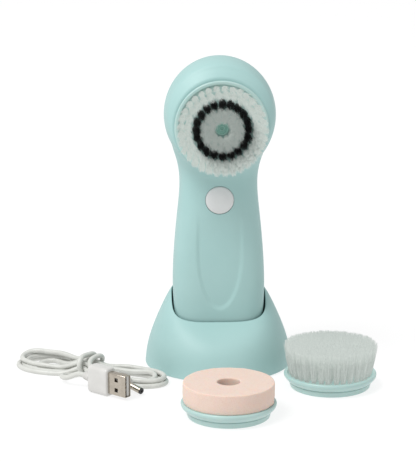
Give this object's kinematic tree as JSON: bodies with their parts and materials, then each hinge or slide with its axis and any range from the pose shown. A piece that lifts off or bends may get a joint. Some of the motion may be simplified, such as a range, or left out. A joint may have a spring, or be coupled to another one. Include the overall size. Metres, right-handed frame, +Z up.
{
  "type": "facial cleansing brush",
  "caption": "Powered facial cleansing brush in a holder stand, with a sponge head, a spare brush head and a charging cable.",
  "frame": {"origin": "centre of the stand's base, on the surface it stands on", "axes": "+Z up; the brush faces -Y; +X is to the right of someone facing the brush"},
  "size_m": [0.194, 0.1589, 0.1755],
  "materials": {
    "housing_plastic": "glossy moulded mint ABS",
    "stand_plastic": "glossy moulded mint ABS",
    "head_plastic": "satin moulded pale mint polypropylene",
    "base_plastic": "matt moulded mint ABS",
    "button_plastic": "translucent white moulded cap",
    "screw_steel": "zinc plated steel",
    "motor_steel": "drawn steel can",
    "shaft_steel": "ground stainless steel",
    "rotor_copper": "enamelled copper on a laminated core",
    "brass": "turned brass",
    "gear_plastic": "natural acetal",
    "frame_plastic": "glass-filled nylon",
    "dark_plastic": "black moulded plastic",
    "rubber": "moulded elastomer",
    "board": "glass epoxy with solder mask",
    "battery_wrap": "shrink sleeve over a steel cell",
    "magnet": "bonded ferrite",
    "lead_red": "insulated wire",
    "bristle_white": "clear white nylon filament",
    "bristle_black": "black nylon filament",
    "sponge": "open-cell pale pink foam",
    "cable_jacket": "white flexible PVC",
    "plug_plastic": "white moulded PVC",
    "plug_metal": "nickel-plated steel"
  },
  "bodies": {
    "stand": {"stand_shell": "stand_plastic", "stand_base_plate": "base_plastic", "stand_feet": "rubber", "stand_screws": "screw_steel", "cable_hank": "cable_jacket", "cable_usb_lead": "cable_jacket", "cable_dc_lead": "cable_jacket", "cable_tie": "cable_jacket", "usb_overmold": "plug_plastic", "usb_shell": "plug_metal", "usb_tongue": "plug_plastic", "usb_contacts": "brass", "dc_plug_overmold": "plug_plastic", "dc_barrel": "plug_metal", "dc_tip_insulator": "dark_plastic"},
    "handset": {"front_housing": "housing_plastic", "rear_housing": "housing_plastic", "housing_screws": "screw_steel", "tactile_switch": "dark_plastic", "circuit_board": "board", "board_components": "dark_plastic", "battery_cell": "battery_wrap", "battery_tabs": "screw_steel", "battery_cradle": "dark_plastic", "dc_jack_body": "dark_plastic", "dc_jack_pin": "shaft_steel", "motor_can": "motor_steel", "motor_end_cap": "frame_plastic", "motor_magnets": "magnet", "motor_leads": "lead_red", "gearbox_frame": "frame_plastic", "gearbox_rear_plate": "frame_plastic", "gearbox_screws": "screw_steel", "idler_shaft": "shaft_steel", "front_bushing": "brass", "rear_bushing": "brass", "shaft_seal": "rubber"},
    "button": {"power_button": "button_plastic"},
    "motor_armature": {"motor_rotor": "rotor_copper", "motor_pinion": "brass"},
    "idler": {"idler_gear": "gear_plastic"},
    "spindle": {"output_spindle": "shaft_steel", "output_gear": "gear_plastic", "spindle_clip": "screw_steel"},
    "brush_head": {"brush_head_base": "head_plastic", "brush_hub": "head_plastic", "outer_bristles": "bristle_white", "black_bristles": "bristle_black", "inner_bristles": "bristle_white"},
    "sponge_head": {"sponge_head_base": "head_plastic", "sponge_pad": "sponge"},
    "spare_head": {"spare_head_base": "head_plastic", "spare_bristles": "bristle_white"}
  },
  "joints": [
    {"name": "handset_lift", "type": "slide", "parent": "stand", "child": "handset", "axis": [0, 0, 1], "range_m": [0, 0.09]},
    {"name": "button_press", "type": "slide", "parent": "handset", "child": "button", "axis": [0, 1, 0], "range_m": [0, 0.0006], "stiffness_N_per_m": 500},
    {"name": "head_spin", "type": "hinge", "parent": "handset", "child": "spindle", "pos_m": [0, -0.02718, 0.14065], "axis": [0, -0.9986, 0.0523], "continuous": true},
    {"name": "idler_spin", "type": "hinge", "parent": "handset", "child": "idler", "pos_m": [0, -0.02781, 0.12867], "axis": [0, -0.9986, 0.0523], "continuous": true},
    {"name": "motor_spin", "type": "hinge", "parent": "handset", "child": "motor_armature", "pos_m": [0, 0.00278, 0.13908], "axis": [0, 0.0523, 0.9986], "continuous": true},
    {"name": "head_pull", "type": "slide", "parent": "spindle", "child": "brush_head", "axis": [0, -0.9986, 0.0523], "range_m": [0, 0.02]},
    {"name": "sponge_head_lift", "type": "slide", "parent": "stand", "child": "sponge_head", "axis": [0, 0, 1], "range_m": [0, 0.06]},
    {"name": "spare_head_lift", "type": "slide", "parent": "stand", "child": "spare_head", "axis": [0, 0, 1], "range_m": [0, 0.06]}
  ],
  "couplings": [
    {"joint": "idler_spin", "follows": "head_spin", "ratio": -3},
    {"joint": "motor_spin", "follows": "head_spin", "ratio": -9}
  ]
}
